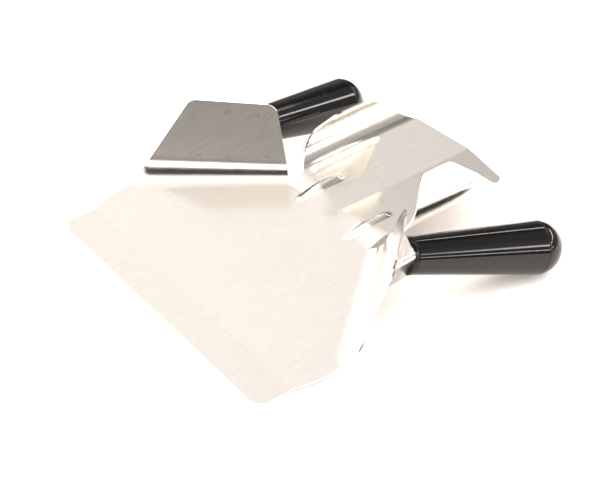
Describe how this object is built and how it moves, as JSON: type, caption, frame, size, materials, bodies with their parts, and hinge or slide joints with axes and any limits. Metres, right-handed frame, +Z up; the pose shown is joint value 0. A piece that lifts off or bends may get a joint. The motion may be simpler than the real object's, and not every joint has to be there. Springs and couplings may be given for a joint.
{
  "type": "two-handled bagging scoop",
  "caption": "Flat folded sheet scoop with side walls, a rear discharge trough and two splayed grips, for gathering fried food and sliding it into a bag.",
  "frame": {"origin": "centre of the outline seen from above, on the table the scoop rests on", "axes": "+Z up from the table, +Y from the front lip back to the handles and spout, +X to the user's left"},
  "size_m": [0.227, 0.2336, 0.0584],
  "materials": {
    "stainless": "fine brushed stainless sheet",
    "bolt_steel": "plain stainless bolt",
    "grip_black": "glossy black moulded",
    "collar_black": "black moulded ring",
    "insert_brass": "plain turned brass"
  },
  "bodies": {
    "root": {"scoop_pan": "stainless", "bracket_left": "stainless", "bolt_left": "bolt_steel", "collar_left": "collar_black", "grip_left": "grip_black", "insert_left": "insert_brass", "end_cap_left": "grip_black", "bracket_right": "stainless", "bolt_right": "bolt_steel", "collar_right": "collar_black", "grip_right": "grip_black", "insert_right": "insert_brass", "end_cap_right": "grip_black"}
  },
  "joints": []
}
